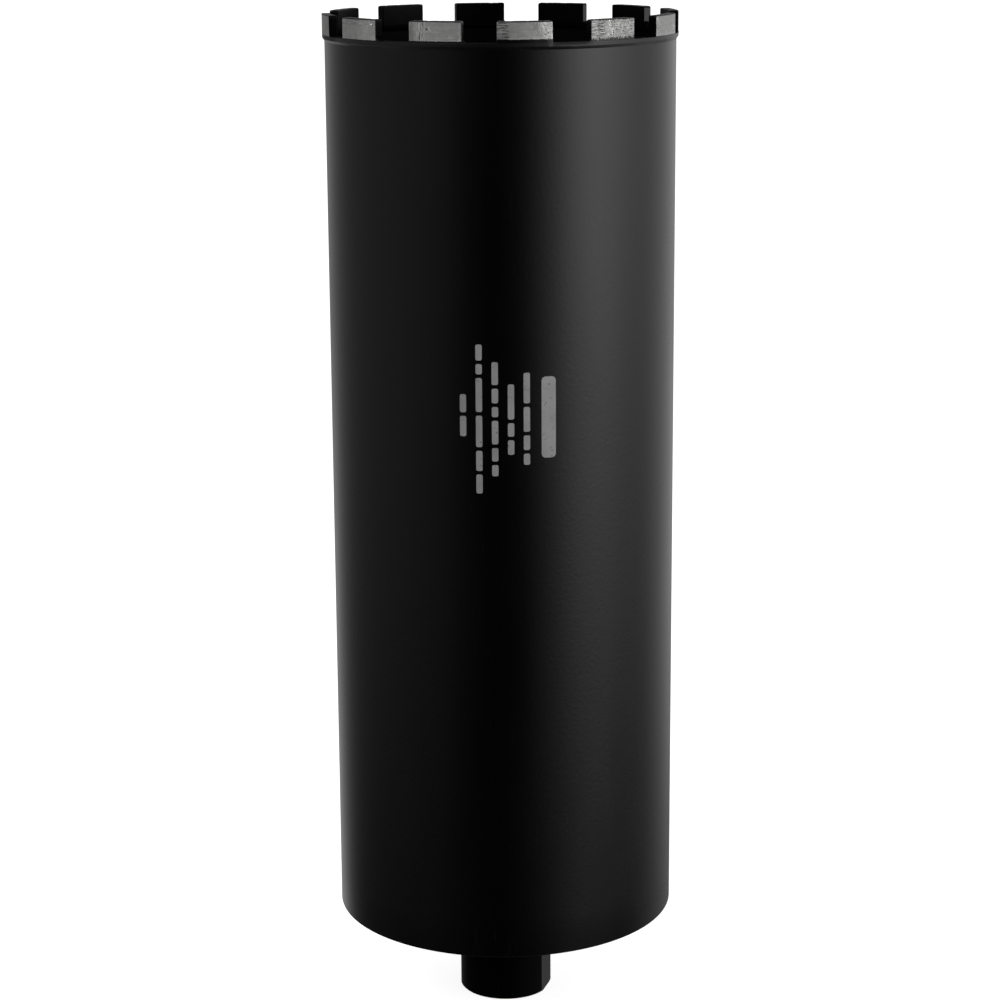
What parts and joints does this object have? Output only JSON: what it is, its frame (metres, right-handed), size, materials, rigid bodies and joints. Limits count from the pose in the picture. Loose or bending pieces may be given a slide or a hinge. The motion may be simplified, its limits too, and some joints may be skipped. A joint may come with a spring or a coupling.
{
  "type": "diamond core bit",
  "caption": "Thin-walled steel barrel closed at one end by a threaded shank, with a ring of spaced diamond segments around the open end, for wet core drilling in concrete.",
  "frame": {"origin": "centre of the shank's flat end face, on the bit's axis", "axes": "+Z along the axis from the shank to the cutting crown, +X square to one spanner flat"},
  "size_m": [0.16, 0.16, 0.467],
  "materials": {
    "barrel_paint": "satin black paint on steel",
    "shank_finish": "satin black paint over turned steel, bare in the thread",
    "cutting_segment": "sintered metal and diamond, ground bare on the outer face, painted black elsewhere",
    "bare_steel": "machined thread, lightly oiled",
    "mark_ink": "thin light grey ink, plain bars only"
  },
  "bodies": {
    "root": {"barrel_tube": "barrel_paint", "back_plate": "barrel_paint", "shank": "shank_finish", "crown_ring": "barrel_paint", "segment_01": "cutting_segment", "segment_02": "cutting_segment", "segment_03": "cutting_segment", "segment_04": "cutting_segment", "segment_05": "cutting_segment", "segment_06": "cutting_segment", "segment_07": "cutting_segment", "segment_08": "cutting_segment", "segment_09": "cutting_segment", "segment_10": "cutting_segment", "segment_11": "cutting_segment", "segment_12": "cutting_segment"}
  },
  "joints": []
}
